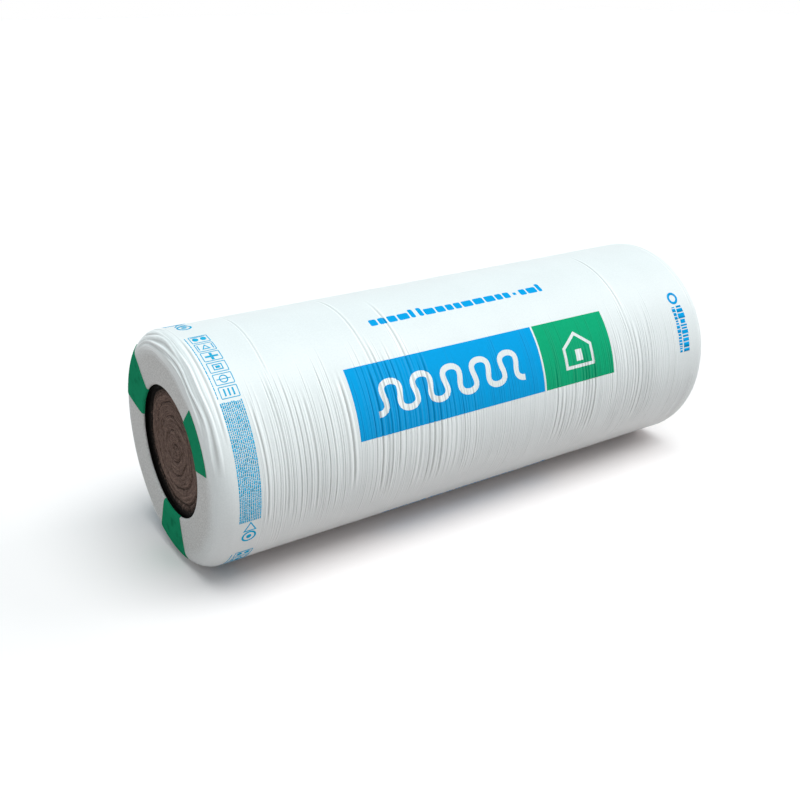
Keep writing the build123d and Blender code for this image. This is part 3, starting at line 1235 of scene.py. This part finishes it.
# Mineral wool with a brown binder, spun and laid in thin layers: matt and streaked along the layers. Painted
# shade darkens it in the creases between turns and makes it nearly black under the film's edge, where little
# light gets in.
def make_wool_finish():
    material, tree = start_material("mineral_wool_spun")
    place = add_node(tree, "TexCoord", {}, "Object")
    lay_and_painted_light = add_node(tree, "Attribute", {}, "Vector", attribute_name="lay_and_painted_light")
    light = add_node(tree, "SeparateXYZ", {0: lay_and_painted_light}, 2)
    short_place = add_node(tree, "VectorMath", {0: lay_and_painted_light, 1: SHORT_STREAKS}, operation="MULTIPLY")
    long_place = add_node(tree, "VectorMath", {0: lay_and_painted_light, 1: LONG_STREAKS}, operation="MULTIPLY")
    short_pattern = {"Vector": short_place, "Scale": 1.0, "Detail": 5.0, "Roughness": 0.65}
    long_pattern = {"Vector": long_place, "Scale": 1.0, "Detail": 4.0, "Roughness": 0.6}
    short_lay = add_node(tree, "TexNoise", short_pattern)
    long_lay = add_node(tree, "TexNoise", long_pattern)
    lays = add_node(tree, "Math", {0: short_lay, 1: long_lay}, operation="ADD")
    streaks = add_node(tree, "MapRange", {0: lays, 1: 0.72, 2: 1.28})
    fibre_pattern = {"Scale": 1 / (4.5 * MM), "Detail": 6.0, "Roughness": 0.75, "Distortion": 1.2}
    fibres = add_node(tree, "TexNoise", {"Vector": place} | fibre_pattern)
    brown = add_node(tree, "Mix", {0: streaks, 6: "#503D34", 7: "#B3968A"}, 2, data_type="RGBA")
    flecks = add_node(tree, "MapRange", {0: fibres, 1: 0.3, 2: 0.7})
    flecked = add_node(tree, "Mix", {0: flecks, 6: "#6A625F", 7: "#FFFFFF"}, 2, data_type="RGBA")
    toned = add_node(tree, "Mix", {0: 0.7, 6: brown, 7: flecked}, 2, data_type="RGBA", blend_type="MULTIPLY")
    # painted shade: where the painted light is low, the wool is mixed towards near black, with a ragged
    # fibrous edge
    painted_shade_fringe = add_node(tree, "MapRange", {0: fibres, 1: 0.35, 2: 0.65, 3: -0.25, 4: 0.25})
    ragged_painted_light = add_node(tree, "Math", {0: light, 1: painted_shade_fringe}, operation="ADD")
    painted_light_share = add_node(tree, "MapRange", {0: ragged_painted_light, 1: 0.15, 2: 0.75})
    colour = add_node(tree, "Mix", {0: painted_light_share, 6: "#0B0907", 7: toned}, 2, data_type="RGBA")
    relief = add_node(tree, "Math", {0: streaks, 1: fibres}, operation="ADD")
    bump = add_node(tree, "Bump", {"Strength": 0.8, "Distance": 2 * MM, "Height": relief})
    surface = {"Base Color": colour, "Roughness": 0.95, "Normal": bump}
    shader = add_node(tree, "BsdfPrincipled", surface | {"IOR": 1.5, "Specular IOR Level": 0.15})
    add_node(tree, "OutputMaterial", {"Surface": shader})
    return material


def dress(piece, material):
    piece.data.materials.clear()
    piece.data.materials.append(material)
    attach(piece, "root")


# Studio

FLOOR_SIZE, FLOOR_DROP = 60, 0.5 * MM  # the floor lies just under the roll, clear of its lowest faces
FLOOR_BOUNCE = (0.56, 0.505, 0.495, 1)  # a darker floor for the light that bounces off it
FLOOR_SEEN = (1.0, 0.92, 0.91, 1)  # warm, so that the floor looks white in the cool light
SKY_LOW, SKY_HIGH = (0.74, 0.73, 0.72, 1), (0.0, 0.12, 0.16, 1)
LAMP_DISTANCE = 4

# Camera: fitted to the roll's outline
CAMERA_TARGET = Vector((-87.6, 0, 210.3)) * MM
CAMERA_DISTANCE = 2119.5 * MM
CAMERA_TURN = math.radians(33.8)
CAMERA_TILT = math.radians(22.59)
CAMERA_LENS = 45.28
CAMERA_SENSOR = 36
CAMERA_REACH = 100


def seen_directly(tree):
    """1 for what the camera sees, straight or in gloss or glass, and 0 for light that bounces."""
    path = add_node(tree, "LightPath", {}).node.outputs
    shiny = {0: path["Is Glossy Ray"], 1: path["Is Transmission Ray"]}
    in_gloss = add_node(tree, "Math", shiny, operation="MAXIMUM")
    return add_node(tree, "Math", {0: path["Is Camera Ray"], 1: in_gloss}, operation="MAXIMUM")


def make_floor():
    plane = bpy.ops.mesh.primitive_plane_add
    floor = start_piece("studio_floor", plane, size=FLOOR_SIZE, location=(0, 0, -FLOOR_DROP))
    material, tree = start_material("studio_paper_white")
    seen = seen_directly(tree)
    colour = add_node(tree, "Mix", {0: seen, 6: FLOOR_BOUNCE, 7: FLOOR_SEEN}, 2, data_type="RGBA")
    shader = add_node(tree, "BsdfDiffuse", {"Color": colour})
    add_node(tree, "OutputMaterial", {"Surface": shader})
    floor.data.materials.append(material)


def make_world():
    world = bpy.data.worlds.new("studio_sky")
    bpy.context.scene.world = world
    world.use_nodes = True
    tree = world.node_tree
    tree.nodes.clear()
    way = add_node(tree, "TexCoord", {}, "Generated")
    up = add_node(tree, "SeparateXYZ", {0: way}, 2)
    rise = add_node(tree, "MapRange", {0: up, 1: 0.0, 2: 1.0})
    colour = add_node(tree, "Mix", {0: rise, 6: SKY_LOW, 7: SKY_HIGH}, 2, data_type="RGBA")
    light = add_node(tree, "Background", {"Color": colour, "Strength": 1.0})
    white = add_node(tree, "Background", {"Color": (1, 1, 1, 1), "Strength": 1.0})
    shader = add_node(tree, "MixShader", {0: seen_directly(tree), 1: light, 2: white})
    add_node(tree, "OutputWorld", {"Surface": shader})


def add_lamp(name, way, spread, strength, colour):
    """A broad lamp far off in the given way. spread is how wide it looks from the roll, in degrees."""
    bpy.ops.object.light_add(type="SUN", location=LAMP_DISTANCE * Vector(way))
    lamp = bpy.context.object
    lamp.name = name
    lamp.rotation_euler = (-Vector(way)).to_track_quat("-Z", "Y").to_euler()
    lamp.data.angle = math.radians(spread)
    lamp.data.energy = strength
    lamp.data.color = colour


def add_camera():
    level = math.cos(CAMERA_TILT)
    back = Vector((-math.sin(CAMERA_TURN) * level, -math.cos(CAMERA_TURN) * level, math.sin(CAMERA_TILT)))
    bpy.ops.object.camera_add(location=CAMERA_TARGET + CAMERA_DISTANCE * back)
    camera = bpy.context.object
    camera.rotation_euler = (-back).to_track_quat("-Z", "Y").to_euler()
    camera.data.lens = CAMERA_LENS
    camera.data.sensor_width = CAMERA_SENSOR
    camera.data.clip_end = CAMERA_REACH
    bpy.context.scene.camera = camera


film_finish = make_film_finish()
blue_ink = make_ink("flexo_ink_blue", "#0C99D7", "#12A3E4")
fine_ink = make_ink("flexo_ink_cyan", "#1EA6D2", "#2CB4DE")
green_ink = make_ink("flexo_ink_green", "#10A06E", "#1BAC7B")
end_ink = make_ink("flexo_ink_green_under_film", "#1A865D", "#259B71", smudge="#0E5C40")
wool_finish = make_wool_finish()

film_piece = make_film()
dress(film_piece, film_finish)
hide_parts("film_wrap")
wool_piece = make_wool()
dress(wool_piece, wool_finish)
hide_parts("wool_roll")

make_panels()
make_block_row()
make_near_marks()
make_far_marks()
make_end_patches(-1, "near")
make_end_patches(1, "far")

make_floor()
make_world()
add_lamp("key_lamp", (0.10, -0.27, 0.957), spread=48, strength=2.44, colour=(0.95, 1.0, 1.0))
add_lamp("side_lamp", (0.76, -0.24, 0.6), spread=30, strength=0.46, colour=(1.0, 1.0, 1.0))
add_camera()
bpy.context.scene.view_settings.view_transform = "Standard"
